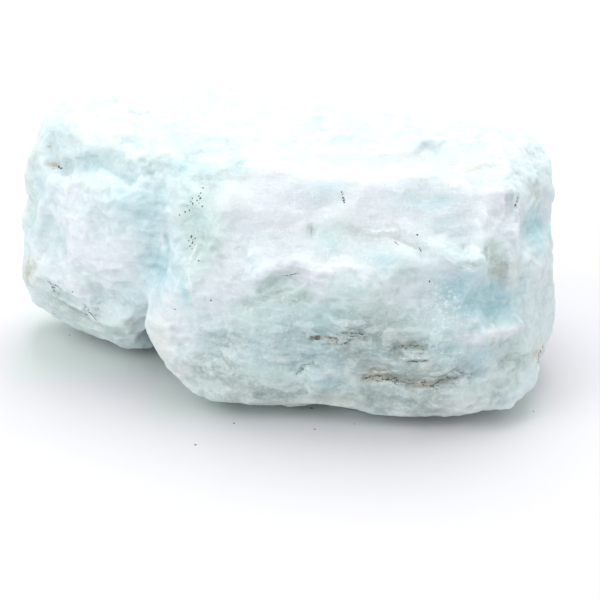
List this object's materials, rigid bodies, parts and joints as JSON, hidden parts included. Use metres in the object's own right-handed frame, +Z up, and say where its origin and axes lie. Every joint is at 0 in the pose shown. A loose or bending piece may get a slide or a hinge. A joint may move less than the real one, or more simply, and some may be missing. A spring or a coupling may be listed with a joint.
{
  "type": "hemimorphite specimen",
  "caption": "Rough block of massive pale blue hemimorphite with broken, ledged sides, a lobe set back at one end and a flat base.",
  "frame": {"origin": "on the surface that the stone rests on, under the middle of its box", "axes": "+X along the stone towards its right end, seen from its broad broken side; +Y away from that side; +Z up"},
  "size_m": [0.091, 0.052, 0.041],
  "materials": {
    "hemimorphite": "satin"
  },
  "bodies": {
    "root": {"hemimorphite": "hemimorphite"}
  },
  "joints": []
}
